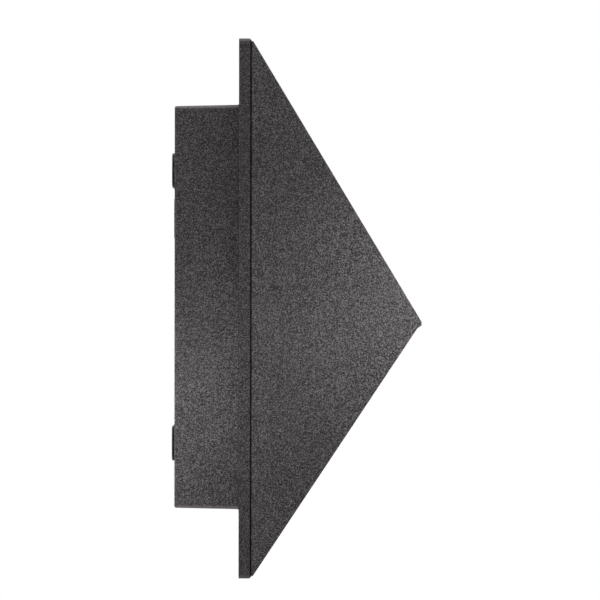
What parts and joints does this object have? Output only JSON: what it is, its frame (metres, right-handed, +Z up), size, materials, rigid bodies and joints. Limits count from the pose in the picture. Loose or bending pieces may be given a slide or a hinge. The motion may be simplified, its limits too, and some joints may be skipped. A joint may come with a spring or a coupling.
{
  "type": "wall pack light",
  "caption": "Wedge-shaped outdoor wall light on a shallow back box, with a side-hinged front, captive screws and a glass-covered LED module facing down and out.",
  "frame": {"origin": "centre of the four wall screws, on the wall plane that the pads stand on", "axes": "+Z up the wall, +Y into the wall, light thrown towards -Y and down, +X towards the hinges"},
  "size_m": [0.36, 0.1738, 0.375],
  "materials": {
    "casting": "fine sand-textured dark charcoal powder coat",
    "pad_rubber": "glossy black moulded",
    "seal_rubber": "matt black silicone",
    "bushing_rubber": "soft matt",
    "driver_case": "satin anodised",
    "driver_plastic": "fine texture",
    "bracket_steel": "zinc plated sheet",
    "terminal_plastic": "moulded polyamide",
    "surge_plastic": "moulded",
    "screw_steel": "zinc plated",
    "stainless": "bright stainless",
    "ground_green": "green passivated",
    "wire_jacket": "semi-matt jacket",
    "wire_colours": "smooth insulation",
    "bezel_metal": "fine textured powder coat",
    "clear_glass": "tempered clear",
    "board_white": "white solder mask",
    "thermal_grey": "soft pad",
    "led_phosphor": "phosphor under clear resin",
    "optic_clear": "moulded clear acrylic"
  },
  "bodies": {
    "back_box": {"back_box": "casting", "mounting_pads": "pad_rubber", "supply_bushing": "bushing_rubber", "driver_bracket": "bracket_steel", "driver_case": "driver_case", "driver_end_caps": "driver_plastic", "terminal_block": "terminal_plastic", "terminal_screws": "screw_steel", "surge_protector": "surge_plastic", "device_screws": "screw_steel", "ground_screw": "ground_green", "supply_wires": "wire_colours", "led_lead_box": "wire_jacket", "hinge_pins": "stainless"},
    "front_door": {"rear_frame": "casting", "door_seal": "seal_rubber", "seam_screws": "stainless", "seam_gasket": "seal_rubber", "wedge_housing": "casting", "lens_bezel": "bezel_metal", "lens_glass": "clear_glass", "lens_gasket": "seal_rubber", "thermal_pad": "thermal_grey", "led_board": "board_white", "led_chips": "led_phosphor", "optic_plate": "optic_clear", "bezel_screws": "stainless", "board_screws": "screw_steel", "lead_bushing": "bushing_rubber", "led_lead_door": "wire_jacket"},
    "captive_screw_lower": {"captive_screw_lower": "stainless", "retainer_lower": "screw_steel"},
    "captive_screw_upper": {"captive_screw_upper": "stainless", "retainer_upper": "screw_steel"}
  },
  "joints": [
    {"name": "door_hinge", "type": "hinge", "parent": "back_box", "child": "front_door", "pos_m": [0.1515, -0.0418, 0], "axis": [0, 0, 1], "range_deg": [0, 90]},
    {"name": "captive_screw_lower_slide", "type": "slide", "parent": "front_door", "child": "captive_screw_lower", "axis": [0, -1, 0], "range_m": [0, 0.0105]},
    {"name": "captive_screw_upper_slide", "type": "slide", "parent": "front_door", "child": "captive_screw_upper", "axis": [0, -1, 0], "range_m": [0, 0.0105]}
  ]
}
